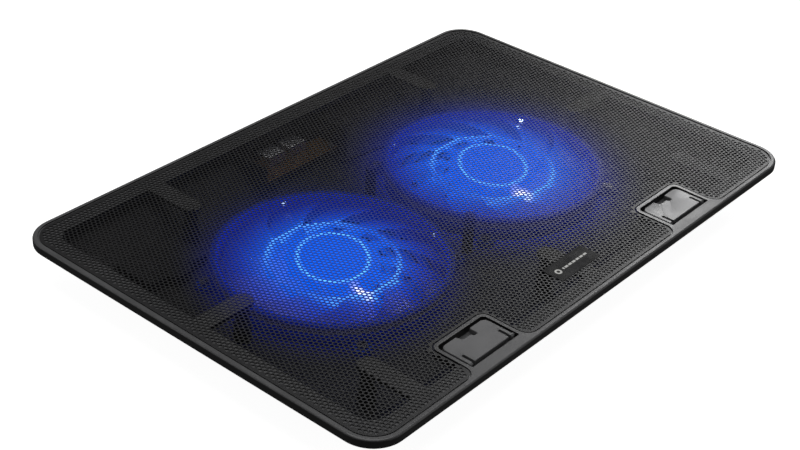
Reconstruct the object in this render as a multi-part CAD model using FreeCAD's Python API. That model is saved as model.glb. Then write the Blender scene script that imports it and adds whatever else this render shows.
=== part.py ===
"""Laptop cooling pad with two lit fans under a perforated sheet.

Frame: millimetres, +X to the right along the long side, +Y to the back, +Z up. The origin is the
middle of the footprint, on the surface that the rubber pads stand on. The user sits on the -Y side,
where two flaps fold up to stop a laptop from sliding off. Each node is written to parts/NODE.step.
"""

import FreeCAD, Part
import math
import os

V = FreeCAD.Vector

# Overall sizes
WIDTH, DEPTH, HEIGHT = 360.0, 242.0, 28.0
CORNER_R = 18.0
RIM_H = 5.0                      # edge thickness of the upper frame
PAD_H = 2.0                      # rubber pads under the base
WALL = 2.0
FRONT = -DEPTH / 2
RIM_Z = HEIGHT - RIM_H           # parting plane between frame and base

# Perforated sheet
SHEET_INSET = 3.6                # sheet edge to frame edge
SHEET_T = 0.5
SHEET_TOP = HEIGHT - 0.3
SHEET_Z = SHEET_TOP - SHEET_T
SHEET_GAP = 1.0                  # groove round the sheet
LEDGE = 13.0                     # the frame reaches this far under the sheet

# Flaps that stop the laptop, in their trays
FLAP_X = 86.2                    # flap centres, either side of the middle
FLAP_HALF, FLAP_FRONT, FLAP_REAR = 16.7, 9.6, 27.6
FLAP_TOP, FLAP_T = HEIGHT - 0.2, 2.5
FLAP_SLOT_X, FLAP_SLOT_W, FLAP_SLOT_L = 13.9, 1.8, 7.0
TRAY_HALF, TRAY_FRONT, TRAY_REAR = 18.0, 7.1, 29.2
MOUTH_R = 6.0                    # flare where the tray meets the front edge
TRAY_LIP = 1.9
TRAY_FLOOR_Z, TRAY_FLOOR_T = HEIGHT - 4.25, 1.4
HINGE_V, HINGE_Z = 10.6, HEIGHT - 1.8    # flap axis: behind the front edge, above the floor
TRUNNION_R, TRUNNION_CLEAR = 1.0, 0.09
NOTCH_HALF, NOTCH_DEPTH = 5.2, 3.6
HOOK_W, HOOK_DEPTH = 3.0, 5.4    # deeper end of the finger notch

# Base shell
BASE_INSET = 1.0                 # base edge inside the frame edge
BEVEL_RUN = 33.5                 # how far the bevel carries the flat bottom in
FLOOR_Z = PAD_H + WALL
BASE_CORNER_R = 14.0
BEVEL_SLOPE = (RIM_Z - PAD_H) / BEVEL_RUN

# Fans
FAN_X, FAN_Y = 68.0, 6.0
RING_IN, RING_OUT, RING_TOP = 60.0, 62.5, 17.0
MOUNT_R, MOUNT_T = 17.0, 1.6
EAR_R, EAR_AT, EAR_T, EAR_ANGLE = 5.0, 67.0, 3.0, 35.0
HUB_R, HUB_WALL, HUB_Z, HUB_TOP = 25.0, 1.6, 7.8, 15.4
BLADES, BLADE_TIP_R, BLADE_T, BLADE_Z = 11, 57.5, 1.3, 11.4
BLADE_START = {-1: -6.0, 1: -14.0}    # angle of each fan's first blade
TIE_R, TIE_ROD_R, TIE_Z = 35.0, 1.3, 13.0    # round ring that ties the blades together
MAGNET_R = 20.0
SHOE_IN, SHOE_OUT = 16.8, 19.2    # stator pole shoes
SHAFT_R, SHAFT_CLEAR = 1.5, 0.05
LED_Z, LED_R, LED_ANGLE = 13.6, 1.5, 21.0

# Port bay at the back
BAY_X, BAY_HALF, BAY_BACK, BAY_FRONT = -5.0, 34.0, 113.0, 84.0
SOCKET_W, SOCKET_H, SOCKET_L, SOCKET_WALL = 13.2, 5.8, 14.0, 0.4
SOCKET_Z, SOCKET_STEP = 13.0, 17.0
BOARD_Z, BOARD_T = 8.5, 1.6
SWITCH_X = 20.0

# Rear feet that fold out of the base
FOOT_X, FOOT_HALF = 127.0, 17.0
FOOT_AXIS_Y, FOOT_AXIS_Z = 80.8, 5.0
FOOT_R, FOOT_TIP_Y = 2.4, 63.0
POCKET_TOP = 8.3
SCOOP_R = 6.0                    # finger scoop in front of each foot
FOOT_PIN_R = 1.2

# Case fastenings, each on a tab that reaches in from the frame
BOSSES = [(-135, -77), (0, -81), (135, -77), (140, 0), (-140, 0), (-98, 81), (98, 81)]
BOSS_R, BOSS_Z = 3.5, 14.0
SUPPORT_POSTS = [(0, 40), (0, -30)]


def rounded_wire(points, z):
    """Closed wire through (x, y, radius) corners, with an arc at each corner that has a radius."""
    edges = []
    ends = []
    count = len(points)
    for i, (x, y, r) in enumerate(points):
        here = V(x, y, z)
        to_prev = V(points[i - 1][0], points[i - 1][1], z) - here
        to_next = V(points[(i + 1) % count][0], points[(i + 1) % count][1], z) - here
        to_prev.normalize()
        to_next.normalize()
        if r <= 0:
            ends.append((here, here, None))
            continue
        half = to_prev.getAngle(to_next) / 2
        middle = to_prev + to_next
        middle.normalize()
        start = here + to_prev * (r / math.tan(half))
        end = here + to_next * (r / math.tan(half))
        ends.append((start, end, here + middle * (r / math.sin(half) - r)))
    for i, (start, end, mid) in enumerate(ends):
        if mid is not None:
            edges.append(Part.Arc(start, mid, end).toShape())
        following = ends[(i + 1) % count][0]
        if end.distanceToPoint(following) > 1e-6:
            edges.append(Part.LineSegment(end, following).toShape())
    return Part.Wire(edges)


def prism(points, z0, z1):
    return Part.Face(rounded_wire(points, z0)).extrude(V(0, 0, z1 - z0))


def rect(x0, x1, y0, y1, r=0.0):
    return [(x0, y0, r), (x1, y0, r), (x1, y1, r), (x0, y1, r)]


def inset_rect(inset, r):
    return rect(-WIDTH / 2 + inset, WIDTH / 2 - inset, FRONT + inset, -FRONT - inset, r)


def box(x0, x1, y0, y1, z0, z1):
    return Part.makeBox(x1 - x0, y1 - y0, z1 - z0, V(x0, y0, z0))


def cylinder(r, x, y, z0, z1):
    return Part.makeCylinder(r, z1 - z0, V(x, y, z0))


def tube(r_in, r_out, x, y, z0, z1):
    return cylinder(r_out, x, y, z0, z1).cut(cylinder(r_in, x, y, z0 - 1, z1 + 1))


def polar(x, y, r, degrees):
    a = math.radians(degrees)
    return x + r * math.cos(a), y + r * math.sin(a)


def fuse(shapes):
    return shapes[0].fuse(shapes[1:]).removeSplitter() if len(shapes) > 1 else shapes[0]


def save(name, shape):
    solids = shape.Solids
    assert solids and all(s.isValid() and s.Volume > 0 for s in solids), name
    kept = solids[0] if len(solids) == 1 else Part.makeCompound(solids)
    kept.exportStep("parts/%s.step" % name)
    print("%-22s %d solid(s) %9.1f mm3" % (name, len(solids), sum(s.Volume for s in solids)))


# Sheet and frame --------------------------------------------------------------------------------

def sheet_outline(grow=0.0):
    """The sheet's edge, moved outward by grow: a rounded rectangle with a bay for each flap tray."""
    x, y = WIDTH / 2 - SHEET_INSET + grow, FRONT + SHEET_INSET - grow
    half = TRAY_HALF + TRAY_LIP + SHEET_GAP - grow
    rear = FRONT + TRAY_REAR + TRAY_LIP + SHEET_GAP - grow
    r_corner, r_mouth, r_bay = CORNER_R - SHEET_INSET + grow, MOUTH_R + grow, 5.5 - grow
    points = [(-x, y, r_corner)]
    for centre in (-FLAP_X, FLAP_X):
        points += [(centre - half, y, r_mouth), (centre - half, rear, r_bay)]
        points += [(centre + half, rear, r_bay), (centre + half, y, r_mouth)]
    return points + [(x, y, r_corner), (x, -y, r_corner), (-x, -y, r_corner)]


def tray_block(centre, grow, z0, z1, r):
    """Block in the tray's plan, grown by the lip for its outside."""
    half = TRAY_HALF + grow
    rear = FRONT + TRAY_REAR + grow
    front = FRONT + TRAY_FRONT - min(grow, 1.4)
    points = [(centre - half, front, 0.6), (centre + half, front, 0.6)]
    return prism(points + [(centre + half, rear, r), (centre - half, rear, r)], z0, z1)


def boss_tab(x, y):
    """Tab under the sheet that carries a screw boss in from the frame."""
    if abs(x) > 139:
        x0, x1 = sorted((x, math.copysign(WIDTH / 2 - LEDGE + 1, x)))
        return box(x0, x1, y - 5.5, y + 5.5, SHEET_Z - WALL, SHEET_Z)
    y0, y1 = sorted((y, math.copysign(-FRONT - LEDGE + 1, y)))
    return box(x - 5.5, x + 5.5, y0, y1, SHEET_Z - WALL, SHEET_Z)


def make_top_frame():
    body = prism(inset_rect(0, CORNER_R), RIM_Z, HEIGHT)
    body = body.makeFillet(1.3, [e for e in body.Edges if e.BoundBox.ZMin > HEIGHT - 0.01])
    body = body.makeFillet(0.9, [e for e in body.Edges if e.BoundBox.ZMax < RIM_Z + 0.01])
    opening = prism(inset_rect(LEDGE, CORNER_R - 8), RIM_Z - 5, SHEET_Z + 1)
    pocket = prism(sheet_outline(SHEET_GAP), SHEET_Z, HEIGHT + 1)
    body = body.cut(opening).cut(pocket)
    added = []
    for x, y in BOSSES:
        added += [boss_tab(x, y), cylinder(5.5, x, y, SHEET_Z - WALL, SHEET_Z)]
        added.append(cylinder(BOSS_R, x, y, BOSS_Z, SHEET_Z))
    for centre in (-FLAP_X, FLAP_X):
        added.append(tray_block(centre, TRAY_LIP, TRAY_FLOOR_Z - TRAY_FLOOR_T, HEIGHT, 4.5))
    body = fuse([body] + added)
    for x, y in BOSSES:
        body = body.cut(cylinder(1.3, x, y, BOSS_Z - 1, BOSS_Z + 8))
    for centre in (-FLAP_X, FLAP_X):
        body = body.cut(tray_block(centre, 0, TRAY_FLOOR_Z, HEIGHT + 1, 2.8))
        holes = Part.makeCylinder(
            TRUNNION_R + TRUNNION_CLEAR, 2 * (TRAY_HALF + 1.3),
            V(centre - TRAY_HALF - 1.3, FRONT + HINGE_V, HINGE_Z), V(1, 0, 0))
        body = body.cut(holes)
    return body


def make_mesh_panel():
    return prism(sheet_outline(), SHEET_Z, SHEET_TOP)


def make_nameplate():
    return prism(rect(-16.8, 16.8, FRONT + 18.4, FRONT + 31.6, 0.8), SHEET_TOP, HEIGHT - 0.05)


# Flaps ------------------------------------------------------------------------------------------

def make_flap(centre):
    """Flap with a finger notch at its back, and two sprung arms that carry the trunnions."""
    y0, y1 = FRONT + FLAP_FRONT, FRONT + FLAP_REAR
    plan = [(centre - FLAP_HALF, y0, 0.5), (centre + FLAP_HALF, y0, 0.5), (centre + FLAP_HALF, y1, 3.4)]
    hook_x = centre + NOTCH_HALF - HOOK_W
    plan += [(centre + NOTCH_HALF, y1, 0.8), (centre + NOTCH_HALF, y1 - HOOK_DEPTH, 1.2)]
    plan += [(hook_x, y1 - HOOK_DEPTH, 1.2), (hook_x, y1 - NOTCH_DEPTH, 0.4)]
    plan += [(centre - NOTCH_HALF + 1.2, y1 - NOTCH_DEPTH, 1.6), (centre - NOTCH_HALF, y1, 0.8)]
    plan.append((centre - FLAP_HALF, y1, 3.4))
    flap = prism(plan, FLAP_TOP - FLAP_T, FLAP_TOP)
    flap = flap.makeFillet(0.4, [e for e in flap.Edges if e.BoundBox.ZMin > FLAP_TOP - 0.01])
    for side in (-1, 1):
        x = centre + side * FLAP_SLOT_X
        slot = rect(x - FLAP_SLOT_W / 2, x + FLAP_SLOT_W / 2, y0 - 4, y0 + FLAP_SLOT_L, 0.8)
        flap = flap.cut(prism(slot, FLAP_TOP - FLAP_T - 1, FLAP_TOP + 1))
        arm_x = centre + side * (FLAP_SLOT_X + FLAP_SLOT_W / 2)
        arm_end = centre + side * FLAP_HALF
        axis_y = FRONT + HINGE_V
        pin = Part.makeCylinder(TRUNNION_R, 2.4, V(arm_end, axis_y, HINGE_Z), V(side, 0, 0))
        near = V(min(arm_x, arm_end), axis_y, HINGE_Z)
        knuckle = Part.makeCylinder(1.6, abs(arm_end - arm_x), near, V(1, 0, 0))
        flap = flap.fuse([pin, knuckle])
    rib = box(centre - 11, centre + 11, y0 + 1.2, y0 + 2.4, FLAP_TOP - FLAP_T - 0.7, FLAP_TOP - FLAP_T)
    return flap.fuse(rib).removeSplitter()


# Base -------------------------------------------------------------------------------------------

def bevelled(top_inset, top_z, low_inset, low_z, r_top, r_low):
    wires = [rounded_wire(inset_rect(low_inset, r_low), low_z)]
    wires.append(rounded_wire(inset_rect(top_inset, r_top), top_z))
    return Part.makeLoft(wires, True, True)


def grille(x):
    """Ring slots under one fan, broken by spokes that widen outwards."""
    rings = []
    inner, slot_w, rib_w = 12.0, 3.8, 2.6
    while inner + slot_w < 58:
        rings.append(tube(inner, inner + slot_w, x, FAN_Y, PAD_H - 1, FLOOR_Z + 1))
        inner += slot_w + rib_w
    spokes = [box(x - 60, x + 60, FAN_Y - 1.6, FAN_Y + 1.6, 0, 9)]
    for turn in (1, 2, 3):
        spoke = spokes[0].copy()
        spoke.rotate(V(x, FAN_Y, 0), V(0, 0, 1), 45 * turn)
        spokes.append(spoke)
    return Part.makeCompound(rings).cut(fuse(spokes))


def foot_pocket(x, grow, z1):
    """Pocket that a foot folds into, with a half-round finger scoop at the foot's tip."""
    front = FOOT_TIP_Y - 1.2
    half = FOOT_HALF + 1 + grow
    pocket = box(x - half, x + half, front - grow, FOOT_AXIS_Y + 3.5 + grow, PAD_H, z1)
    return pocket.fuse(cylinder(SCOOP_R + grow, x, front, PAD_H, z1))


def foot_pin(x):
    """Pin that a foot turns on, from one wall of its pocket to the other."""
    start = V(x - FOOT_HALF - 2.2, FOOT_AXIS_Y, FOOT_AXIS_Z)
    return Part.makeCylinder(FOOT_PIN_R, 2 * FOOT_HALF + 4.4, start, V(1, 0, 0))


def ear_angles(x):
    base = EAR_ANGLE if x > 0 else 180 - EAR_ANGLE
    return [base + 90 * k for k in range(4)]


def ear_centres(x):
    return [polar(x, FAN_Y, EAR_AT, degrees) for degrees in ear_angles(x)]


def make_base_shell():
    outer = bevelled(BASE_INSET, RIM_Z, BASE_INSET + BEVEL_RUN, PAD_H, CORNER_R - BASE_INSET, BASE_CORNER_R)
    rise = 2.2                                       # wall measured straight up through the bevel
    low_inset = BASE_INSET + (RIM_Z + rise - FLOOR_Z) / BEVEL_SLOPE
    top_inset = BASE_INSET + rise / BEVEL_SLOPE
    inner = bevelled(top_inset, RIM_Z, low_inset, FLOOR_Z, CORNER_R - 4, BASE_CORNER_R - 2)
    shell = outer.cut(inner).cut(prism(bay_plan(0.0), PAD_H - 1, RIM_Z + 1))
    added = [foot_pocket(x, WALL, POCKET_TOP + WALL) for x in (-FOOT_X, FOOT_X)]
    added += [cylinder(4.5, x, y, PAD_H, BOSS_Z - 0.1) for x, y in BOSSES]
    added += [cylinder(3.0, x, y, FLOOR_Z - 1, SHEET_Z) for x, y in SUPPORT_POSTS]
    shell = fuse([shell] + added)
    cuts = [foot_pocket(x, 0, POCKET_TOP) for x in (-FOOT_X, FOOT_X)]
    cuts += [foot_pin(x) for x in (-FOOT_X, FOOT_X)]
    cuts += [grille(-FAN_X), grille(FAN_X)]
    for x, y in BOSSES:
        cuts += [cylinder(3.0, x, y, PAD_H - 1, 11.4), cylinder(1.7, x, y, 11, BOSS_Z)]
    for fan in (-FAN_X, FAN_X):
        for x, y in ear_centres(fan) + mount_screw_centres(fan):
            cuts.append(cylinder(1.2, x, y, PAD_H - 1, FLOOR_Z + 1))
    return shell.cut(cuts)


def bay_plan(inset):
    """Plan of the port housing's outside, or of the room inside it, which is open to the front."""
    front = BAY_FRONT - 2 * inset
    half = BAY_HALF - inset
    back = BAY_BACK - inset
    points = [(BAY_X - half, front, 0), (BAY_X + half, front, 0)]
    return points + [(BAY_X + half, back, 4 - inset), (BAY_X - half, back, 4 - inset)]


def make_port_housing():
    """Box let into the back of the shell, with windows for the sockets and the switch."""
    housing = prism(bay_plan(0.0), PAD_H, RIM_Z).cut(prism(bay_plan(WALL), FLOOR_Z, RIM_Z + 1))
    housing = fuse([housing] + [cylinder(2.6, x, y, FLOOR_Z - 1, BOARD_Z) for x, y in BOARD_POSTS])
    y0, y1 = BAY_BACK - WALL - 1, BAY_BACK + 1
    half_w, half_h = SOCKET_W / 2 + 0.2, SOCKET_H / 2 + 0.2
    cuts = [box(x - half_w, x + half_w, y0, y1, SOCKET_Z - half_h, SOCKET_Z + half_h) for x in SOCKETS]
    cuts.append(box(SWITCH_X - 4.2, SWITCH_X + 4.2, y0, y1, SOCKET_Z - 1.6, SOCKET_Z + 1.6))
    return housing.cut(cuts)


def make_pads():
    """Four rubber strips with round ends."""
    return [prism(rect(x - 18, x + 18, y - 4.5, y + 4.5, 4.4), 0, PAD_H)
            for x, y in ((-100, -76), (100, -76), (-68, 78), (68, 78))]


# Fans -------------------------------------------------------------------------------------------

def make_fan_ring(x):
    """Duct round the blades, with four screw ears and a socket for each diode."""
    parts = [tube(RING_IN, RING_OUT, x, FAN_Y, FLOOR_Z, RING_TOP)]
    parts.append(tube(RING_OUT - 1, RING_OUT + 1.2, x, FAN_Y, RING_TOP - 1.2, RING_TOP))
    for degrees, (ex, ey) in zip(ear_angles(x), ear_centres(x)):
        neck = box(x + RING_OUT - 1, x + EAR_AT, FAN_Y - EAR_R, FAN_Y + EAR_R, FLOOR_Z, FLOOR_Z + EAR_T)
        neck.rotate(V(x, FAN_Y, 0), V(0, 0, 1), degrees)
        parts += [neck, cylinder(EAR_R, ex, ey, FLOOR_Z, FLOOR_Z + EAR_T)]
    cuts = [cylinder(1.7, ex, ey, FLOOR_Z - 1, FLOOR_Z + EAR_T + 1) for ex, ey in ear_centres(x)]
    cuts += [radial_rod(x, angle, RING_IN - 2, RING_OUT + 2, LED_R + 0.1) for angle in led_angles(x)]
    cuts.append(box(x - 1.2, x + 1.2, FAN_Y + RING_IN - 3, FAN_Y + RING_OUT + 2, FLOOR_Z - 1, 6.4))
    return fuse(parts).cut(cuts)


def make_motor_mount(x):
    """Disc on the middle of the grille, with the tube that holds the bearing."""
    mount = cylinder(MOUNT_R, x, FAN_Y, FLOOR_Z, FLOOR_Z + MOUNT_T)
    mount = mount.fuse(tube(3.5, 5.0, x, FAN_Y, FLOOR_Z, 12.6)).removeSplitter()
    holes = [cylinder(1.1, px, py, FLOOR_Z - 1, FLOOR_Z + MOUNT_T + 1) for px, py in mount_screw_centres(x)]
    return mount.cut(holes)


def mount_screw_centres(x):
    return [polar(x, FAN_Y, 15.8, 45 + 120 * k) for k in range(3)]


def led_angles(x):
    base = LED_ANGLE if x > 0 else 180 - LED_ANGLE
    return [base + 90 * k for k in range(4)]


def radial_rod(x, degrees, r0, r1, r):
    px, py = polar(x, FAN_Y, r0, degrees)
    return Part.makeCylinder(r, r1 - r0, V(px, py, LED_Z), V(*polar(0, 0, 1, degrees), 0))


def make_leds(x):
    """Round-nosed diodes that look in through the ring at the blades, flush with its inner face."""
    leds = []
    for degrees in led_angles(x):
        px, py = polar(x, FAN_Y, RING_IN + LED_R, degrees)
        front_half = radial_rod(x, degrees, RING_IN - 1, RING_IN + LED_R, LED_R + 1)
        nose = Part.makeSphere(LED_R, V(px, py, LED_Z)).common(front_half)
        body = radial_rod(x, degrees, RING_IN + LED_R, RING_OUT - 0.1, LED_R)
        leds.append(nose.fuse(body).removeSplitter())
    return Part.makeCompound(leds)


def make_led_flex(x):
    return tube(RING_OUT, RING_OUT + 0.3, x, FAN_Y, LED_Z - 2.2, RING_TOP - 1.2)


def make_fan_board(x):
    return tube(5.0, 14.0, x, FAN_Y, FLOOR_Z + MOUNT_T, FLOOR_Z + MOUNT_T + 1.2)


def make_stator(x):
    """Four-pole core with a winding on each pole."""
    core = [tube(5.0, 8.0, x, FAN_Y, 7.4, 12.0)]
    windings = []
    for k in range(4):
        pole = box(x + 6, x + SHOE_IN + 0.5, FAN_Y - 1.6, FAN_Y + 1.6, 8.4, 11.2)
        sector = box(x + 10, x + SHOE_OUT + 1, FAN_Y - 10, FAN_Y + 10, 0, 20)
        shoe = tube(SHOE_IN, SHOE_OUT, x, FAN_Y, 8.0, 11.6).common(sector)
        coil = box(x + 8.6, x + SHOE_IN - 1, FAN_Y - 3.9, FAN_Y + 3.9, 7.2, 12.2)
        coil = coil.cut(box(x + 8, x + SHOE_IN, FAN_Y - 1.6, FAN_Y + 1.6, 8.4, 11.2))
        for shape in (pole, shoe, coil):
            shape.rotate(V(x, FAN_Y, 0), V(0, 0, 1), 45 + 90 * k)
        core += [pole, shoe]
        windings.append(coil)
    return fuse(core), Part.makeCompound(windings)


def blade(x, turn, hand):
    """One swept blade: four slanted sections, from inside the hub wall to the tip."""
    wires = []
    for share in (0.0, 0.33, 0.67, 1.0):
        r = HUB_R - 0.7 + share * (BLADE_TIP_R - HUB_R + 0.7)
        phi = math.radians(turn + hand * 34 * share ** 1.3)
        chord, pitch = 14.1 + 17 * share, math.radians(24 - 13 * share)
        at = V(x + r * math.cos(phi), FAN_Y + r * math.sin(phi), BLADE_Z)
        along = V(-math.sin(phi) * hand, math.cos(phi) * hand, 0)
        run = (along * math.cos(pitch) + V(0, 0, math.sin(pitch))) * (chord / 2)
        across = (along * -math.sin(pitch) + V(0, 0, math.cos(pitch))) * (BLADE_T / 2)
        corners = [at - run - across, at + run - across, at + run + across, at - run + across]
        wires.append(Part.makePolygon(corners + [corners[0]]))
    return Part.makeLoft(wires, True, False)


def make_rotor(x, hand):
    """Hub cup, blades, and a ring part of the way out that ties the blades together."""
    cup = cylinder(HUB_R, x, FAN_Y, HUB_Z, HUB_TOP)
    cup = cup.makeFillet(1.0, [e for e in cup.Edges if e.BoundBox.ZMin > HUB_TOP - 0.01])
    blades = [blade(x, BLADE_START[hand] + 360 / BLADES * k, hand) for k in range(BLADES)]
    tie = Part.makeTorus(TIE_R, TIE_ROD_R, V(x, FAN_Y, TIE_Z))
    body = cup.fuse(blades + [tie])
    body = body.cut(cylinder(HUB_R - HUB_WALL, x, FAN_Y, HUB_Z - 4, HUB_TOP - 1.5))
    body = body.fuse(cylinder(3.2, x, FAN_Y, 13.0, HUB_TOP - 1.4))
    return body.cut(cylinder(SHAFT_R, x, FAN_Y, 12.0, HUB_TOP - 0.8)).removeSplitter()


# Port bay ---------------------------------------------------------------------------------------

SOCKETS = (BAY_X - SOCKET_STEP / 2, BAY_X + SOCKET_STEP / 2)
BOARD_POSTS = [(BAY_X - 28, 106), (BAY_X - 28, 91), (BAY_X + 28, 91)]


def make_board():
    board = box(BAY_X - 31, BAY_X + 31.5, 88, BAY_BACK - WALL - 0.6, BOARD_Z, BOARD_Z + BOARD_T)
    return board.cut([cylinder(1.1, x, y, BOARD_Z - 1, BOARD_Z + 3) for x, y in BOARD_POSTS])


def make_socket(x):
    """Metal can, open at the back of the pad, and the contact tongue inside it."""
    y0, y1 = BAY_BACK - 0.2 - SOCKET_L, BAY_BACK - 0.2
    z0, z1 = SOCKET_Z - SOCKET_H / 2, SOCKET_Z + SOCKET_H / 2
    can = box(x - SOCKET_W / 2, x + SOCKET_W / 2, y0, y1, z0, z1)
    half = SOCKET_W / 2 - SOCKET_WALL
    can = can.cut(box(x - half, x + half, y0 + SOCKET_WALL, y1 + 1, z0 + SOCKET_WALL, z1 - SOCKET_WALL))
    back = box(x - SOCKET_W / 2 + 0.5, x + SOCKET_W / 2 - 0.5, y0 + 0.5, y0 + 3.5, z0 + 0.5, z1 - 0.5)
    tongue = box(x - 5.5, x + 5.5, y0 + 3, y1 - 0.9, SOCKET_Z + 0.2, SOCKET_Z + 2.0)
    return can, back.fuse(tongue).removeSplitter()


def make_switch():
    z0, z1 = BOARD_Z + BOARD_T, SOCKET_Z + 2.9
    body = box(SWITCH_X - 6, SWITCH_X + 6, 104.6, BAY_BACK - WALL - 0.3, z0, z1)
    body = body.cut(box(SWITCH_X - 3.6, SWITCH_X + 3.6, 106, BAY_BACK, SOCKET_Z - 1.5, SOCKET_Z + 1.5))
    knob = box(SWITCH_X - 3.3, SWITCH_X - 0.3, 106.4, BAY_BACK + 1.6, SOCKET_Z - 1.2, SOCKET_Z + 1.2)
    for k in (-2.9, -2.0, -1.1):
        x = SWITCH_X + k
        knob = knob.fuse(box(x, x + 0.4, BAY_BACK + 1.5, BAY_BACK + 2.0, SOCKET_Z - 1.1, SOCKET_Z + 1.1))
    return body, knob.removeSplitter()


# Feet -------------------------------------------------------------------------------------------

def make_foot(x):
    low, high = FOOT_AXIS_Z - FOOT_R, FOOT_AXIS_Z + FOOT_R
    plan = [(x - FOOT_HALF + 2, FOOT_TIP_Y + 1.8, 3), (x + FOOT_HALF - 2, FOOT_TIP_Y + 1.8, 3)]
    plan += [(x + FOOT_HALF, FOOT_AXIS_Y, 0), (x - FOOT_HALF, FOOT_AXIS_Y, 0)]
    leg = prism(plan, low, high)
    side = V(x - FOOT_HALF, FOOT_AXIS_Y, FOOT_AXIS_Z)
    leg = leg.fuse(Part.makeCylinder(FOOT_R, 2 * FOOT_HALF, side, V(1, 0, 0)))
    window = rect(x - 9, x + 9, FOOT_TIP_Y + 7, FOOT_AXIS_Y - 5, 2)
    leg = leg.cut(prism(window, low + 1.6, high + 1))
    start = V(x - FOOT_HALF - 1, FOOT_AXIS_Y, FOOT_AXIS_Z)
    bore = Part.makeCylinder(FOOT_PIN_R + 0.08, 2 * FOOT_HALF + 2, start, V(1, 0, 0))
    tip = prism(rect(x - 12, x + 12, FOOT_TIP_Y, FOOT_TIP_Y + 1.8, 0.6), low + 0.2, high - 0.2)
    return leg.cut(bore).removeSplitter(), tip, foot_pin(x)


# Fasteners and leads ----------------------------------------------------------------------------

def screw(x, y, head_r, head_z0, head_z1, shank_r, end_z, head_low=True):
    """Pan-head screw with a cross slot. The head is the lower end when it is driven from below."""
    head = cylinder(head_r, x, y, head_z0, head_z1)
    shank = cylinder(shank_r, x, y, min(end_z, head_z0), max(end_z, head_z1))
    face = head_z0 if head_low else head_z1
    slots = [box(x - a, x + a, y - b, y + b, face - 0.9, face + 0.9) for a, b in ((1.6, 0.35), (0.35, 1.6))]
    return head.fuse(shank).cut(slots).removeSplitter()


def make_mount_screws(x):
    screws = []
    for px, py in mount_screw_centres(x):
        shank = cylinder(1.0, px, py, PAD_H + 0.4, FLOOR_Z + MOUNT_T)
        head = cylinder(1.7, px, py, FLOOR_Z + MOUNT_T, FLOOR_Z + MOUNT_T + 0.9)
        screws.append(shank.fuse(head).removeSplitter())
    return Part.makeCompound(screws)


def make_fan_screws(x):
    bottom = PAD_H + 0.3
    screws = [screw(ex, ey, 2.8, 7.0, 8.8, 1.2, bottom, head_low=False) for ex, ey in ear_centres(x)]
    return Part.makeCompound(screws)


def make_board_screws():
    low = BOARD_Z + BOARD_T
    return Part.makeCompound([cylinder(2.0, x, y, low, low + 1.2) for x, y in BOARD_POSTS])


def round_path(points, radius):
    """Straight runs joined by arcs through the given points."""
    edges, last = [], V(*points[0])
    for i in range(1, len(points) - 1):
        here = V(*points[i])
        to_prev, to_next = V(*points[i - 1]) - here, V(*points[i + 1]) - here
        to_prev.normalize()
        to_next.normalize()
        half = to_prev.getAngle(to_next) / 2
        middle = to_prev + to_next
        middle.normalize()
        start = here + to_prev * (radius / math.tan(half))
        end = here + to_next * (radius / math.tan(half))
        crown = here + middle * (radius / math.sin(half) - radius)
        edges.append(Part.LineSegment(last, start).toShape())
        edges.append(Part.Arc(start, crown, end).toShape())
        last = end
    edges.append(Part.LineSegment(last, V(*points[-1])).toShape())
    return Part.Wire(edges)


def make_lead(x, side):
    """Fan lead: down from the board's front edge, then along a grille spoke to the motor's board."""
    start_x, top, floor = BAY_X + side * 24, BOARD_Z + 0.8, FLOOR_Z + 0.9
    points = [(start_x, 87.9, top), (start_x, 84.5, top), (start_x + side * 2, 80.5, floor)]
    points += [(x, FAN_Y + 67.0, floor), (x, FAN_Y + 19.5, floor)]
    points += [(x, FAN_Y + 17.8, 6.45), (x, FAN_Y + 14.1, 6.45)]
    path = round_path(points, 1.7)
    first = path.Edges[0]
    profile = Part.Wire(Part.makeCircle(0.8, first.valueAt(first.FirstParameter), V(0, -1, 0)))
    lead = path.makePipeShell([profile], True, False)
    print("lead %.1f mm3, section times length %.1f mm3" % (lead.Volume, math.pi * 0.64 * path.Length))
    return lead


def main():
    os.makedirs("parts", exist_ok=True)
    save("top_frame", make_top_frame())
    save("mesh_panel", make_mesh_panel())
    save("nameplate", make_nameplate())
    save("base_shell", make_base_shell())
    save("port_housing", make_port_housing())
    save("flap_left", make_flap(-FLAP_X))
    save("flap_right", make_flap(FLAP_X))
    for name, pad in zip(("front_left", "front_right", "rear_left", "rear_right"), make_pads()):
        save("rubber_pad_" + name, pad)
    for side, name in ((-1, "left"), (1, "right")):
        x = side * FAN_X
        core, windings = make_stator(x)
        save("fan_ring_" + name, make_fan_ring(x))
        save("motor_mount_" + name, make_motor_mount(x))
        save("mount_screws_" + name, make_mount_screws(x))
        save("fan_rotor_" + name, make_rotor(x, side))
        save("fan_magnet_" + name, tube(MAGNET_R, HUB_R - HUB_WALL, x, FAN_Y, HUB_Z + 0.4, 13.4))
        save("fan_shaft_" + name, cylinder(SHAFT_R, x, FAN_Y, 6.0, HUB_TOP - 0.8))
        save("fan_bearing_" + name, tube(SHAFT_R + SHAFT_CLEAR, 3.5, x, FAN_Y, 6.0, 12.4))
        save("fan_stator_" + name, core)
        save("fan_windings_" + name, windings)
        save("fan_board_" + name, make_fan_board(x))
        save("fan_leds_" + name, make_leds(x))
        save("led_strip_" + name, make_led_flex(x))
        save("fan_screws_" + name, make_fan_screws(x))
        save("fan_lead_" + name, make_lead(x, side))
        leg, tip, pin = make_foot(side * FOOT_X)
        save("rear_foot_" + name, leg)
        save("foot_tip_" + name, tip)
        save("foot_pin_" + name, pin)
    save("case_screws", Part.makeCompound([screw(x, y, 2.7, 9.2, 11.4, 1.3, 20.0) for x, y in BOSSES]))
    save("usb_board", make_board())
    save("board_screws", make_board_screws())
    for x, name in zip(SOCKETS, ("left", "right")):
        can, tongue = make_socket(x)
        save("usb_socket_" + name, can)
        save("usb_tongue_" + name, tongue)
    body, knob = make_switch()
    save("switch_body", body)
    save("switch_knob", knob)


main()
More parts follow.
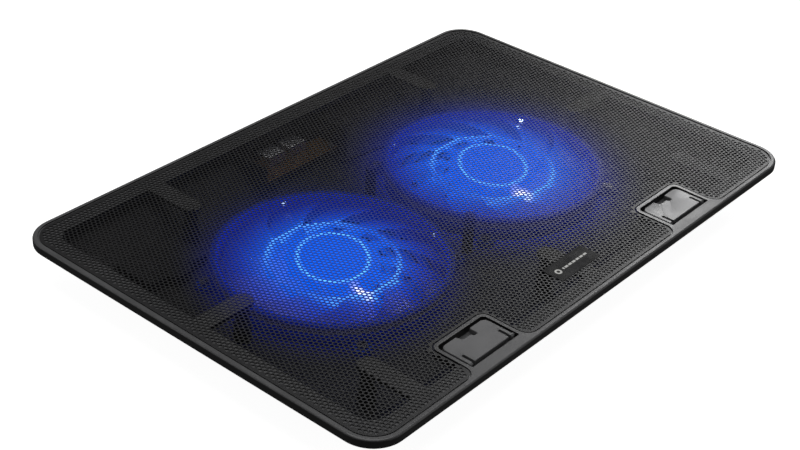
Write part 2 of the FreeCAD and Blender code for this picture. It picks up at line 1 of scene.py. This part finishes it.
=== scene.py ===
import math

import bpy
import numpy as np
from mathutils import Matrix, Vector
from mathutils.geometry import delaunay_2d_cdt


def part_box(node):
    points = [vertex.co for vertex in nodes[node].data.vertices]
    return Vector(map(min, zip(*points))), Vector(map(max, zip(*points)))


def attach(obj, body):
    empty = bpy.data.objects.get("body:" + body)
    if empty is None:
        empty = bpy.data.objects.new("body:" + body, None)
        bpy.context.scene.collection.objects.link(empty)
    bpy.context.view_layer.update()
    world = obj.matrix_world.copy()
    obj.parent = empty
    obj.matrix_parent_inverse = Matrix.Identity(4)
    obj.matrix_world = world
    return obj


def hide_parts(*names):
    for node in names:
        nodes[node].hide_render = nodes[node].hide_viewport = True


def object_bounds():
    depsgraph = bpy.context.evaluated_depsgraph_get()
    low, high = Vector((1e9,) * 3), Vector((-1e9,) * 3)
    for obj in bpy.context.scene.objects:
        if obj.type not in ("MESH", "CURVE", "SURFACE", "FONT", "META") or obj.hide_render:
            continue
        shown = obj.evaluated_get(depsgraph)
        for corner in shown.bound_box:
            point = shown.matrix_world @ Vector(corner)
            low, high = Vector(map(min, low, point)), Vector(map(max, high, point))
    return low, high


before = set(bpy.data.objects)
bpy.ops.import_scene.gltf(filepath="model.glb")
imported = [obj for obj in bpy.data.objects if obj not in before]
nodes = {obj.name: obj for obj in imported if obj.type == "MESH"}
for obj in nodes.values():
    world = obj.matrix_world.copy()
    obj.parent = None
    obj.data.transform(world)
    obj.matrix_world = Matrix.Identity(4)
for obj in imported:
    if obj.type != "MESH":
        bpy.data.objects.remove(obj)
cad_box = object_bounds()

scene = bpy.context.scene
MM = 0.001
CAD_LOW, CAD_HIGH = cad_box
WIDTH = CAD_HIGH.x - CAD_LOW.x

# Camera -----------------------------------------------------------------------------------------
VIEW_AZIMUTH, VIEW_ELEVATION, VIEW_ROLL = -51.432, 32.452, 3.573      # degrees
VIEW_DISTANCE = 2.32219 * WIDTH
LENS, SENSOR_WIDTH = 71.85, 36.0      # millimetres
TARGET = Vector((-0.09768 * WIDTH, CAD_LOW.y + 0.30597 * WIDTH, CAD_HIGH.z))


def add_camera():
    az, el, roll = (math.radians(a) for a in (VIEW_AZIMUTH, VIEW_ELEVATION, VIEW_ROLL))
    back = Vector((math.sin(az) * math.cos(el), -math.cos(az) * math.cos(el), math.sin(el)))
    right = Vector((math.cos(az), math.sin(az), 0))
    up = back.cross(right)
    side = math.cos(roll) * right + math.sin(roll) * up
    top = math.cos(roll) * up - math.sin(roll) * right
    data = bpy.data.cameras.new("camera")
    data.lens, data.sensor_width = LENS, SENSOR_WIDTH
    camera = bpy.data.objects.new("camera", data)
    turn = Matrix((side, top, back)).transposed().to_4x4()
    camera.matrix_world = Matrix.Translation(TARGET + back * VIEW_DISTANCE) @ turn
    scene.collection.objects.link(camera)
    scene.camera = camera


add_camera()


# Shader building --------------------------------------------------------------------------------

class Shader:
    """A material with one Principled shader, and short calls for the nodes that feed it."""

    def __init__(self, name, color=(0.02, 0.02, 0.02), roughness=0.5, **settings):
        self.material = bpy.data.materials.new(name)
        self.material.use_nodes = True
        self.tree = self.material.node_tree
        self.principled = next(n for n in self.tree.nodes if n.type == "BSDF_PRINCIPLED")
        self.principled.inputs["Base Color"].default_value = (*color, 1)
        self.principled.inputs["Roughness"].default_value = roughness
        for key, value in settings.items():
            socket = key.replace("_", " ").title().replace("Ior", "IOR")
            self.principled.inputs[socket].default_value = value
        self.position = self.node("ShaderNodeTexCoord").outputs["Object"]

    def node(self, kind, inputs=None, **attributes):
        made = self.tree.nodes.new(kind)
        for key, value in attributes.items():
            setattr(made, key, value)
        for key, value in (inputs or {}).items():
            self.put(made.inputs[key], value)
        return made

    def put(self, socket, value):
        if isinstance(value, bpy.types.NodeSocket):
            self.tree.links.new(value, socket)
        elif isinstance(value, (tuple, list)) and len(value) == 3 and socket.type == "RGBA":
            socket.default_value = (*value, 1)
        else:
            socket.default_value = value

    def feed(self, name, value):
        self.put(self.principled.inputs[name], value)

    def math(self, operation, *values, clamp=False):
        inputs = dict(enumerate(values))
        return self.node("ShaderNodeMath", inputs, operation=operation, use_clamp=clamp).outputs[0]

    def vector(self, operation, a, b):
        return self.node("ShaderNodeVectorMath", {0: a, 1: b}, operation=operation).outputs[0]

    def length(self, value):
        return self.node("ShaderNodeVectorMath", {0: value}, operation="LENGTH").outputs["Value"]

    def axes(self, value):
        return self.node("ShaderNodeSeparateXYZ", {0: value}).outputs

    def facing_up(self):
        return self.axes(self.node("ShaderNodeNewGeometry").outputs["Normal"])["Z"]

    def wave(self, scale, distortion):
        inputs = {"Vector": self.position, "Scale": scale, "Distortion": distortion}
        return self.node("ShaderNodeTexWave", inputs, bands_direction="Z").outputs["Fac"]

    def noise(self, scale, detail=2.0, roughness=0.5, stretch=None):
        where = self.position if stretch is None else self.vector("MULTIPLY", self.position, stretch)
        inputs = {"Vector": where, "Scale": scale, "Detail": detail, "Roughness": roughness}
        return self.node("ShaderNodeTexNoise", inputs).outputs["Fac"]

    def cells(self, scale):
        inputs = {"Vector": self.position, "Scale": scale}
        return self.node("ShaderNodeTexVoronoi", inputs, feature="F1").outputs["Distance"]

    def spread(self, value, low, high, to_low=0.0, to_high=1.0):
        inputs = {"Value": value, "From Min": low, "From Max": high, "To Min": to_low, "To Max": to_high}
        return self.node("ShaderNodeMapRange", inputs, interpolation_type="SMOOTHSTEP").outputs["Result"]

    def mix(self, factor, a, b):
        made = self.node("ShaderNodeMix", data_type="RGBA", blend_type="MIX")
        for socket, value in zip((s for s in made.inputs if s.enabled), (factor, a, b)):
            self.put(socket, value)
        return next(s for s in made.outputs if s.enabled)

    def bump(self, height, strength, distance):
        inputs = {"Height": height, "Strength": strength, "Distance": distance}
        self.feed("Normal", self.node("ShaderNodeBump", inputs).outputs["Normal"])


def moulded(name, color, roughness, grain=2600.0, depth=0.00004, tone=0.25, painted_side_shade=1.0):
    """Moulded plastic: fine spark-eroded grain, a little tone change, and edges polished by handling.

    A value below 1 for the last argument gives the upright faces painted shade: they come out darker than the
    faces that look up."""
    s = Shader(name, color, roughness)
    fine = s.noise(grain, 3.0, 0.6)
    broad = s.noise(38.0, 4.0, 0.55)
    edge = s.node("ShaderNodeNewGeometry").outputs["Pointiness"]
    worn = s.spread(edge, 0.52, 0.60)
    lighter = tuple(c * 1.7 + 0.004 for c in color)
    mottled = s.mix(s.spread(broad, 0.35, 0.65, 0.0, tone), color, lighter)
    # painted shade: upright faces darker than the faces that look up
    if painted_side_shade < 1.0:
        shaded_sides = tuple(c * painted_side_shade for c in color)
        mottled = s.mix(s.spread(s.facing_up(), 0.3, 0.95), shaded_sides, mottled)
    s.feed("Base Color", mottled)
    rough = s.math("ADD", s.spread(broad, 0.3, 0.7, roughness - 0.05, roughness + 0.05),
                   s.spread(fine, 0.3, 0.7, -0.04, 0.04))
    s.feed("Roughness", s.math("SUBTRACT", rough, s.math("MULTIPLY", worn, 0.12)))
    s.bump(fine, 0.5, depth)
    return s


def metal(name, color, roughness, brush=(1.0, 1.0, 1.0)):
    """Metal with fine drawn lines along the axis whose stretch is small."""
    s = Shader(name, color, roughness, metallic=1.0)
    lines = s.noise(900.0, 3.0, 0.6, stretch=brush)
    blot = s.noise(120.0, 3.0)
    s.feed("Base Color", s.mix(s.spread(blot, 0.35, 0.7), color, tuple(c * 0.72 for c in color)))
    s.feed("Roughness", s.spread(lines, 0.3, 0.7, roughness - 0.08, roughness + 0.1))
    s.bump(lines, 0.25, 0.00003)
    return s


# Fan light --------------------------------------------------------------------------------------

GLOW_REACH = {"left": 0.080, "right": 0.094}    # distance from the axis where the light ends
GLOW_PROFILE = ((0.25, 0.98), (0.38, 0.86), (0.50, 0.60), (0.62, 0.34), (0.72, 0.15), (0.84, 0.04))
GLOW_CORE, GLOW_EDGE = (0.0, 0.125, 1.0), (0.012, 0.05, 1.0)
SHEET_GLOW_SHIFT = Vector((-0.016, -0.010, 0))    # the sheet's glow sits to the left and front of the fan
SHEET_GLOW, ROTOR_GLOW, SPILL_GLOW = 0.375, 1.12, 1.1
STREAKS = {    # painted light streaks on each rotor: ring radius and swing, arc radius and swing
    "left": (0.0206, 0.0020, 0.0350, 0.0006),
    "right": (0.0212, 0.0022, 0.0360, 0.0012),
}
STREAK_TURN = math.radians(46)
STREAK_COLOR = (0.10, 0.42, 1.0)
LINE_HALF, ARC_HALF = 0.0022, 0.0055
TIE_R = 0.035
# a painted glint spot on each rotor: its offset from the axis and its colour
SPOT_OFFSET = Vector((-0.0102, -0.0292, 0))
SPOT_COLOR = (0.80, 0.78, 0.66)
FLOOR_TOP = (0.0030, 0.0035)    # painted fan light goes on faces above the underside of the base

FAN_CENTRES = {}
for side in ("left", "right"):
    low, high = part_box("fan_ring_" + side)
    FAN_CENTRES[side] = Vector(((low.x + high.x) / 2, (low.y + high.y) / 2, 0))


def polar_from(s, centre):
    """Radius and angle of the shaded point about a fan's axis."""
    offset = s.vector("SUBTRACT", s.position, tuple(centre))
    flat = s.vector("MULTIPLY", offset, (1.0, 1.0, 0.0))
    axes = s.axes(flat)
    return s.length(flat), s.math("ARCTAN2", axes["Y"], axes["X"])


def bell(s, value, middle, half_width):
    """One at the middle, falling smoothly to nothing at half_width either side."""
    off = s.math("ABSOLUTE", s.math("SUBTRACT", value, middle))
    return s.spread(off, 0.0, half_width, 1.0, 0.0)


def fan_glow(s, side, shift=None):
    """Brightness and colour of a fan's light by distance from its axis, and that distance and angle."""
    centre = FAN_CENTRES[side] + (shift or Vector((0, 0, 0)))
    radius, angle = polar_from(s, centre)
    reach = s.math("DIVIDE", radius, GLOW_REACH[side], clamp=True)
    curve = s.node("ShaderNodeFloatCurve", {"Value": reach})
    points = curve.mapping.curves[0].points
    points[0].location, points[-1].location = (0.0, 1.0), (1.0, 0.0)
    for place, level in GLOW_PROFILE:
        points.new(place, level)
    curve.mapping.update()
    level = curve.outputs[0]
    return level, s.mix(s.spread(level, 0.15, 0.9), GLOW_EDGE, GLOW_CORE), radius, angle


def both_glows(s, shift=None):
    """Sets the emission colour from the stronger fan, and gives the sum of both fans' light."""
    left, left_color, _, _ = fan_glow(s, "left", shift)
    right, right_color, _, _ = fan_glow(s, "right", shift)
    s.feed("Emission Color", s.mix(s.math("GREATER_THAN", right, left), left_color, right_color))
    return s.math("ADD", left, right)


def sheet_material():
    """Black powder coat, with a painted blue glow over each fan for the light that leaks up round the holes.
    """
    s = Shader("powder_coat", (0.008, 0.008, 0.009), 0.42, specular_ior_level=0.5)
    orange_peel = s.noise(1400.0, 2.0, 0.5)
    dust = s.noise(9.0, 5.0, 0.6)
    s.feed("Base Color", s.mix(s.spread(dust, 0.4, 0.7), (0.007, 0.007, 0.008), (0.011, 0.0105, 0.011)))
    s.feed("Roughness", s.spread(orange_peel, 0.3, 0.7, 0.38, 0.50))
    s.bump(orange_peel, 0.3, 0.00002)
    s.feed("Emission Strength", s.math("MULTIPLY", both_glows(s, SHEET_GLOW_SHIFT), SHEET_GLOW))
    return s.material


def spill(s):
    """Painted fan light on whatever faces up inside the base: it fades out beyond each fan's ring."""
    height = s.axes(s.position)["Z"]
    facing = s.math("MULTIPLY", s.spread(s.facing_up(), 0.0, 0.5), s.spread(height, *FLOOR_TOP))
    level = s.math("MULTIPLY", both_glows(s), facing)
    s.feed("Emission Strength", s.math("MULTIPLY", level, SPILL_GLOW))
    return s


def rotor_material(side):
    """Clear blue plastic with painted light from the ring: painted soft curved streaks round the hub, a
    painted glint spot, and a painted deep blue glow towards the tips.
    """
    s = Shader("rotor_plastic_" + side, (0.01, 0.04, 0.22), 0.30, ior=1.5)
    level, color, radius, angle = fan_glow(s, side)
    haze = s.noise(420.0, 3.0, 0.55)
    ring_r, ring_swing, arc_r, arc_swing = STREAKS[side]
    twice = s.math("COSINE", s.math("MULTIPLY", s.math("SUBTRACT", angle, STREAK_TURN), 2.0))
    ring_at = s.math("ADD", s.math("MULTIPLY", twice, ring_swing), ring_r)
    arc_at = s.math("ADD", s.math("MULTIPLY", twice, arc_swing), arc_r)
    ring = bell(s, radius, ring_at, LINE_HALF)
    arc = bell(s, radius, arc_at, ARC_HALF)
    tie = bell(s, radius, TIE_R, LINE_HALF)
    across = s.math("ABSOLUTE", s.math("SINE", s.math("ADD", angle, 0.1)))
    glint = s.math("MULTIPLY", s.math("ADD", s.math("MULTIPLY", arc, 0.35), s.math("MULTIPLY", tie, 0.6)),
                   s.spread(across, 0.25, 0.95, 0.12, 0.9))
    light = s.math("ADD", s.math("MULTIPLY", ring, 0.9), glint, clamp=True)
    spot_offset = s.vector("SUBTRACT", s.position, tuple(FAN_CENTRES[side] + SPOT_OFFSET))
    spot_r = s.length(s.vector("MULTIPLY", spot_offset, (1.0, 0.62, 0.0)))
    spot = s.spread(spot_r, 0.0005, 0.0056, 1.0, 0.0)
    total = s.math("MULTIPLY", level, s.spread(haze, 0.2, 0.8, 0.88, 1.12))
    glow = s.mix(light, color, STREAK_COLOR)
    s.feed("Emission Color", s.mix(spot, glow, SPOT_COLOR))
    extra = s.math("ADD", s.math("MULTIPLY", light, 0.9), s.math("MULTIPLY", spot, 1.6))
    bright = s.math("ADD", total, extra)
    s.feed("Emission Strength", s.math("MULTIPLY", bright, ROTOR_GLOW))
    s.feed("Roughness", s.spread(haze, 0.3, 0.7, 0.24, 0.38))
    s.bump(haze, 0.2, 0.00004)
    return s.material


def ring_material(side):
    """Clear blue ring with a painted blue glow, brighter towards its top and on its inner wall."""
    s = Shader("ring_plastic_" + side, (0.01, 0.03, 0.16), 0.3)
    haze = s.noise(300.0, 3.0)
    height = s.axes(s.position)["Z"]
    radius, _ = polar_from(s, FAN_CENTRES[side])
    within = s.spread(radius, 0.0603, 0.0620, 1.0, 0.35)
    s.feed("Roughness", s.spread(haze, 0.3, 0.7, 0.24, 0.4))
    s.feed("Emission Color", s.mix(haze, (0.005, 0.03, 1.0), (0.01, 0.06, 1.0)))
    rising = s.spread(height, 0.004, 0.017, 0.12, 0.36)
    s.feed("Emission Strength", s.math("MULTIPLY", rising, within))
    s.bump(haze, 0.15, 0.00004)
    return s.material


def nameplate_material():
    """Black plate with a plain printed device: a small hollow disc and a dashed rule."""
    s = Shader("nameplate_black", (0.005, 0.005, 0.006), 0.5, specular_ior_level=0.12)
    low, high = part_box("nameplate")
    middle = (low + high) / 2
    half = (high.x - low.x) / 2
    offset = s.vector("SUBTRACT", s.position, tuple(middle))
    x, y = s.axes(offset)["X"], s.axes(offset)["Y"]
    from_dot = s.length(s.vector("ADD", offset, (half * 0.68, 0, 0)))
    disc = s.spread(from_dot, 0.0021, 0.0019, 0.0, 1.0)
    hollow = s.spread(from_dot, 0.0009, 0.0011, 0.0, 1.0)
    along = s.math("ABSOLUTE", s.math("SUBTRACT", x, half * 0.17))
    rule = s.math("MULTIPLY", s.math("LESS_THAN", s.math("ABSOLUTE", y), 0.00065),
                  s.math("LESS_THAN", along, half * 0.62))
    dashes = s.math("GREATER_THAN", s.math("FRACT", s.math("MULTIPLY", x, 310.0)), 0.22)
    mark = s.math("MAXIMUM", s.math("MULTIPLY", disc, hollow), s.math("MULTIPLY", rule, dashes))
    smear = s.noise(160.0, 4.0, 0.6)
    s.feed("Base Color", s.mix(mark, (0.005, 0.005, 0.006), (0.62, 0.62, 0.60)))
    smeared = s.spread(smear, 0.35, 0.7, 0.44, 0.56)
    s.feed("Roughness", s.math("ADD", smeared, s.math("MULTIPLY", mark, 0.2)))
    return s.material


def rubber_material():
    s = Shader("rubber", (0.02, 0.02, 0.02), 0.8, specular_ior_level=0.3)
    grain, dust = s.noise(1800.0, 3.0, 0.65), s.noise(90.0, 4.0, 0.6)
    s.feed("Base Color", s.mix(s.spread(dust, 0.4, 0.75), (0.016, 0.016, 0.016), (0.045, 0.043, 0.04)))
    s.feed("Roughness", s.spread(grain, 0.3, 0.7, 0.68, 0.88))
    s.bump(grain, 0.6, 0.00006)
    return s.material


def board_material():
    """Amber solder mask with traces and pads showing through."""
    s = Shader("solder_mask", (0.10, 0.05, 0.015), 0.3, coat_weight=0.4)
    bricks = {"Vector": s.position, "Scale": 260.0, "Mortar Size": 0.06,
              "Color1": (0, 0, 0), "Color2": (0, 0, 0), "Mortar": (1, 1, 1)}
    traces = s.node("ShaderNodeTexBrick", bricks).outputs["Color"]
    pads = s.spread(s.cells(420.0), 0.16, 0.12, 0.0, 1.0)
    tint = s.mix(traces, (0.09, 0.045, 0.014), (0.20, 0.11, 0.035))
    s.feed("Base Color", s.mix(pads, tint, (0.5, 0.48, 0.4)))
    s.feed("Roughness", s.spread(s.noise(200.0), 0.3, 0.7, 0.22, 0.4))
    s.bump(traces, 0.3, 0.00003)
    return s.material


def windings_material():
    s = Shader("enamelled_copper", (0.55, 0.2, 0.07), 0.3, metallic=0.9)
    wire = s.wave(700.0, 0.6)
    s.feed("Base Color", s.mix(wire, (0.16, 0.045, 0.014), (0.62, 0.25, 0.09)))
    s.feed("Roughness", s.spread(wire, 0.0, 1.0, 0.5, 0.24))
    s.bump(wire, 0.8, 0.0001)
    return s.material


def core_material():
    s = Shader("laminated_steel", (0.2, 0.2, 0.21), 0.4, metallic=0.9)
    layers = s.wave(900.0, 0.1)
    s.feed("Base Color", s.mix(layers, (0.06, 0.06, 0.065), (0.28, 0.28, 0.29)))
    s.feed("Roughness", s.spread(s.noise(300.0), 0.3, 0.7, 0.32, 0.5))
    s.bump(layers, 0.5, 0.00006)
    return s.material


def magnet_material():
    s = Shader("bonded_ferrite", (0.03, 0.028, 0.026), 0.6)
    grit = s.noise(2200.0, 4.0, 0.7)
    s.feed("Base Color", s.mix(s.spread(grit, 0.5, 0.75), (0.024, 0.022, 0.02), (0.09, 0.085, 0.08)))
    s.feed("Roughness", s.spread(grit, 0.3, 0.7, 0.5, 0.72))
    s.bump(grit, 0.5, 0.00005)
    return s.material


def lens_material():
    """Lit diodes. Those next to the middle of the pad are dimmer."""
    s = Shader("diode_lens", (0.7, 0.85, 1.0), 0.1, transmission_weight=0.4)
    core = s.noise(800.0, 2.0)
    s.feed("Emission Color", s.mix(core, (0.45, 0.7, 1.0), (0.85, 0.93, 1.0)))
    outer = s.spread(s.math("ABSOLUTE", s.axes(s.position)["X"]), 0.105, 0.120, 0.12, 1.0)
    s.feed("Emission Strength", s.math("MULTIPLY", s.spread(core, 0.3, 0.7, 3.0, 4.5), outer))
    s.feed("Roughness", s.spread(core, 0.3, 0.7, 0.08, 0.16))
    return s.material


def strip_material():
    s = Shader("diode_strip", (0.7, 0.69, 0.64), 0.5)
    film, copper = s.noise(500.0, 3.0), s.spread(s.cells(300.0), 0.2, 0.15, 0.0, 1.0)
    s.feed("Base Color", s.mix(copper, s.mix(film, (0.6, 0.59, 0.54), (0.78, 0.77, 0.73)), (0.6, 0.36, 0.16)))
    s.feed("Roughness", s.spread(film, 0.3, 0.7, 0.4, 0.6))
    return s.material


def lead_material():
    s = Shader("wire_jacket", (0.015, 0.015, 0.015), 0.45)
    skin = s.noise(700.0, 3.0, 0.6)
    s.feed("Base Color", s.mix(skin, (0.01, 0.01, 0.01), (0.03, 0.03, 0.03)))
    s.feed("Roughness", s.spread(skin, 0.3, 0.7, 0.36, 0.55))
    s.bump(skin, 0.2, 0.00003)
    return s.material


def assign(material, *names):
    for name in names:
        mesh = nodes[name].data
        mesh.materials.clear()
        mesh.materials.append(material)


def both(*names):
    return [n + "_" + side for n in names for side in ("left", "right")]


# the frame's upright faces get painted shade
assign(moulded("frame_plastic", (0.075, 0.075, 0.077), 0.40, painted_side_shade=0.16).material, "top_frame")
assign(spill(moulded("base_plastic", (0.012, 0.012, 0.013), 0.55, 1700.0, 0.00008, 0.5)).material,
       "base_shell")
assign(spill(moulded("mount_plastic", (0.012, 0.012, 0.013), 0.5)).material,
       *both("motor_mount"), "port_housing")
assign(moulded("flap_plastic", (0.10, 0.10, 0.103), 0.42, 3200.0, 0.00002).material, *both("flap"))
assign(moulded("foot_plastic", (0.018, 0.018, 0.019), 0.48, 2000.0).material,
       *both("rear_foot"), "switch_body", "switch_knob", *both("usb_tongue"))
assign(nameplate_material(), "nameplate")
assign(rubber_material(), *both("foot_tip", "rubber_pad_front", "rubber_pad_rear"))
for side in ("left", "right"):
    assign(rotor_material(side), "fan_rotor_" + side)
    assign(ring_material(side), "fan_ring_" + side)
assign(magnet_material(), *both("fan_magnet"))
assign(metal("turned_steel", (0.55, 0.55, 0.57), 0.25).material, *both("fan_shaft", "foot_pin"))
assign(metal("screw_steel", (0.4, 0.4, 0.42), 0.35).material,
       "case_screws", "board_screws", *both("mount_screws", "fan_screws"))
assign(metal("plated_can", (0.85, 0.85, 0.87), 0.5, (1.0, 0.05, 1.0)).material, *both("usb_socket"))
assign(metal("oil_bronze", (0.5, 0.3, 0.13), 0.4).material, *both("fan_bearing"))
assign(core_material(), *both("fan_stator"))
assign(windings_material(), *both("fan_windings"))
assign(board_material(), "usb_board", *both("fan_board"))
assign(lens_material(), *both("fan_leds"))
assign(strip_material(), *both("led_strip"))
assign(lead_material(), *both("fan_lead"))


# Perforated sheet -------------------------------------------------------------------------------

PITCH, HOLE_R, HOLE_SIDES = 2.5 * MM, 1.0 * MM, 12
ROW = PITCH * math.sqrt(3) / 2
EDGE_CLEARANCE = 1.12    # a cell this much larger still has to fit inside the sheet's edge
FIELDS = 6               # the perforated area is split into this many pieces
SHEET_LOW, SHEET_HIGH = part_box("mesh_panel")


def sheet_outline():
    """Ordered corners of the sheet's top edge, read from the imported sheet."""
    mesh = nodes["mesh_panel"].data
    top = [abs(v.co.z - SHEET_HIGH.z) < 1e-6 for v in mesh.vertices]
    key = [(round(v.co.x, 6), round(v.co.y, 6)) for v in mesh.vertices]
    count = {}
    for face in mesh.polygons:
        if all(top[i] for i in face.vertices):
            ring = [key[i] for i in face.vertices]
            for a, b in zip(ring, ring[1:] + ring[:1]):
                count[(a, b)] = count.get((a, b), 0) + 1
    following = {a: b for a, b in count if (b, a) not in count}
    loop = [next(iter(sorted(following)))]
    while following[loop[-1]] != loop[0]:
        loop.append(following[loop[-1]])
    return np.array(loop)


def inside(points, loop):
    """Which points lie inside a closed loop."""
    x, y = points[:, 0], points[:, 1]
    result = np.zeros(len(points), bool)
    for (x0, y0), (x1, y1) in zip(loop, np.roll(loop, -1, axis=0)):
        if y0 != y1:
            crosses = (y0 > y) != (y1 > y)
            result ^= crosses & (x < (x1 - x0) * (y - y0) / (y1 - y0) + x0)
    return result


def polygon_piece(name, points, low_faces, walls):
    """A plate between the sheet's two faces: flat faces in plan, and walls along directed edges."""
    count = len(points)
    top = [(x, y, SHEET_HIGH.z) for x, y in points]
    under = [(x, y, SHEET_LOW.z) for x, y in points]
    faces = [tuple(f) for f in low_faces]
    faces += [tuple(i + count for i in reversed(f)) for f in low_faces]
    faces += [(b, a, a + count, b + count) for a, b in walls]
    mesh = bpy.data.meshes.new(name)
    mesh.from_pydata(top + under, [], faces)
    mesh.materials.append(sheet_coat)
    piece = bpy.data.objects.new(name, mesh)
    scene.collection.objects.link(piece)
    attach(piece, "base")
    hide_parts("mesh_panel")
    return piece


def build_sheet():
    """Hexagonal cells with a round hole each, built from the sheet's middle out to its edge."""
    loop = sheet_outline()
    corner_angles = np.radians(30 + 60 * np.arange(6))
    corner_ring = np.stack([np.cos(corner_angles), np.sin(corner_angles)], 1) * (PITCH / math.sqrt(3))
    columns, rows = int(SHEET_HIGH.x / PITCH) + 1, int(SHEET_HIGH.y / ROW) + 1
    cells = {}
    for j in range(-rows, rows + 1):
        for i in range(-columns, columns + 1):
            cells[(2 * i + j % 2, j)] = (PITCH / 2 * (2 * i + j % 2), ROW * j)
    keys = list(cells)
    centres = np.array([cells[k] for k in keys])
    good = np.ones(len(keys), bool)
    for corner in corner_ring * EDGE_CLEARANCE:
        good &= inside(centres + corner, loop)
    kept = {k for k, g in zip(keys, good) if g}
    around = [(2, 0), (1, 1), (-1, 1), (-2, 0), (-1, -1), (1, -1)]
    hole_angles = 2 * math.pi / HOLE_SIDES * np.arange(HOLE_SIDES)
    hole_ring = np.stack([np.cos(hole_angles), np.sin(hole_angles)], 1) * HOLE_R
    edge_of = [(5, 0), (0, 1), (1, 2), (2, 3), (3, 4), (4, 5)]    # corners either side of each neighbour
    ordered = sorted(kept)
    share = -(-len(ordered) // FIELDS)
    rim_edges = []
    for number in range(FIELDS):
        members = ordered[number * share:(number + 1) * share]
        group = set(members)
        points, index, faces, walls = [], {}, [], []

        def corner_index(position):
            place = (round(position[0] * 1e6), round(position[1] * 1e6))
            if place not in index:
                index[place] = len(points)
                points.append(tuple(position))
            return index[place]

        for k in members:
            centre = np.array(cells[k])
            corners = [corner_index(centre + c) for c in corner_ring]
            first = len(points)
            points.extend(map(tuple, centre + hole_ring))
            hole = [first + n for n in range(HOLE_SIDES)]
            for n in range(6):
                a, b = corners[n], corners[(n + 1) % 6]
                h0, h1, h2 = (hole[(2 * n + 1 + m) % HOLE_SIDES] for m in range(3))
                faces += [(h0, a, h1), (a, b, h1), (b, h2, h1)]
            walls += [(hole[(n + 1) % HOLE_SIDES], hole[n]) for n in range(HOLE_SIDES)]
            for (dx, dy), (a, b) in zip(around, edge_of):
                neighbour = (k[0] + dx, k[1] + dy)
                if neighbour not in group:
                    walls.append((corners[a], corners[b]))
                    if neighbour not in kept:
                        rim_edges.append((tuple(centre + corner_ring[a]), tuple(centre + corner_ring[b])))
        polygon_piece("mesh_field_%d" % (number + 1), points, faces, walls)
    build_border(loop, rim_edges, kept)


def build_border(loop, rim_edges, kept):
    """The unperforated margin between the sheet's edge and the outermost holes."""
    points, index = [], {}

    def place(position):
        key = (round(position[0] * 1e6), round(position[1] * 1e6))
        if key not in index:
            index[key] = len(points)
            points.append(Vector((float(position[0]), float(position[1]))))
        return index[key]

    outline = [place(p) for p in loop]
    outer = list(zip(outline, outline[1:] + outline[:1]))
    inner = [(place(a), place(b)) for a, b in rim_edges]
    coords, _, triangles, origin, _, _ = delaunay_2d_cdt(points, outer + inner, [], 0, 1e-8)
    back = {i: origins[0] for i, origins in enumerate(origin) if origins}
    middles = np.array([sum((coords[i] for i in t), Vector((0, 0))) / 3 for t in triangles])
    within = inside(middles, loop)
    faces = []
    for triangle, (x, y), ok in zip(triangles, middles, within):
        if ok and nearest_cell(x, y) not in kept:
            faces.append(tuple(back[i] for i in triangle))
    walls = outer + [(b, a) for a, b in inner]
    polygon_piece("mesh_margin", [tuple(p) for p in points], faces, walls)


def nearest_cell(x, y):
    """Key of the cell whose middle is nearest."""
    best, where = 1e9, None
    j0 = int(round(y / ROW))
    for j in (j0 - 1, j0, j0 + 1):
        i = round((x / PITCH * 2 - j % 2) / 2)
        key = (2 * i + j % 2, j)
        away = (PITCH / 2 * key[0] - x) ** 2 + (ROW * j - y) ** 2
        if away < best:
            best, where = away, key
    return where


sheet_coat = sheet_material()
build_sheet()


# Studio -----------------------------------------------------------------------------------------

FLOOR_HALF = 6.0
SHADE_EDGE = (-0.056, -0.030)    # distance past the pad's edge where the floor's painted shadow turns from dark to pale


def add_floor():
    """Pale floor with a painted shadow under the pad and a painted pool of blue light below each fan."""
    mesh = bpy.data.meshes.new("floor")
    corners = [(x * FLOOR_HALF, y * FLOOR_HALF, 0) for x, y in ((-1, -1), (1, -1), (1, 1), (-1, 1))]
    mesh.from_pydata(corners, [], [(0, 1, 2, 3)])
    s = Shader("floor_paper", (0.4, 0.4, 0.4), 0.9, specular_ior_level=0.1)
    axes = s.axes(s.position)
    past_x = s.math("SUBTRACT", s.math("ABSOLUTE", axes["X"]), CAD_HIGH.x)
    past_y = s.math("SUBTRACT", s.math("ABSOLUTE", axes["Y"]), CAD_HIGH.y)
    # painted shadow: the floor's glow is masked off under the pad; painted pools of blue fan light lie below
    # the fans
    outside = s.spread(s.math("MAXIMUM", past_x, past_y), *SHADE_EDGE)
    pool = s.math("ADD", fan_glow(s, "left")[0], fan_glow(s, "right")[0])
    s.feed("Emission Color", s.mix(outside, (0.0, 0.09, 1.0), (1.0, 1.0, 1.0)))
    strength = s.math("ADD", s.math("MULTIPLY", outside, 0.95), s.math("MULTIPLY", pool, 0.8))
    s.feed("Emission Strength", strength)
    mesh.materials.append(s.material)
    floor = bpy.data.objects.new("floor", mesh)
    scene.collection.objects.link(floor)
    floor.visible_glossy = False
    floor.visible_diffuse = False


def add_light(name, place, size, power, aim=(0, 0, 0)):
    data = bpy.data.lights.new(name, "AREA")
    data.shape, data.size, data.energy = "DISK", size, power
    light = bpy.data.objects.new(name, data)
    light.location = place
    light.rotation_euler = (Vector(aim) - Vector(place)).to_track_quat("-Z", "Y").to_euler()
    scene.collection.objects.link(light)


def add_world():
    world = bpy.data.worlds.new("studio")
    world.use_nodes = True
    background = world.node_tree.nodes["Background"].inputs
    background["Color"].default_value = (1, 1, 1, 1)
    background["Strength"].default_value = 0.08
    scene.world = world


add_floor()
add_light("overhead", (0, 0, 2.4), 2.2, 30)
add_light("soft_right", (1.57, 0.50, 0.95), 0.7, 8.0)
add_light("soft_back", (-1.05, 1.25, 0.75), 0.9, 3.0)
add_light("soft_front", (0.9, -1.5, 0.6), 0.9, 2.2)
add_world()
scene.view_settings.view_transform = "Standard"
scene.view_settings.look = "None"
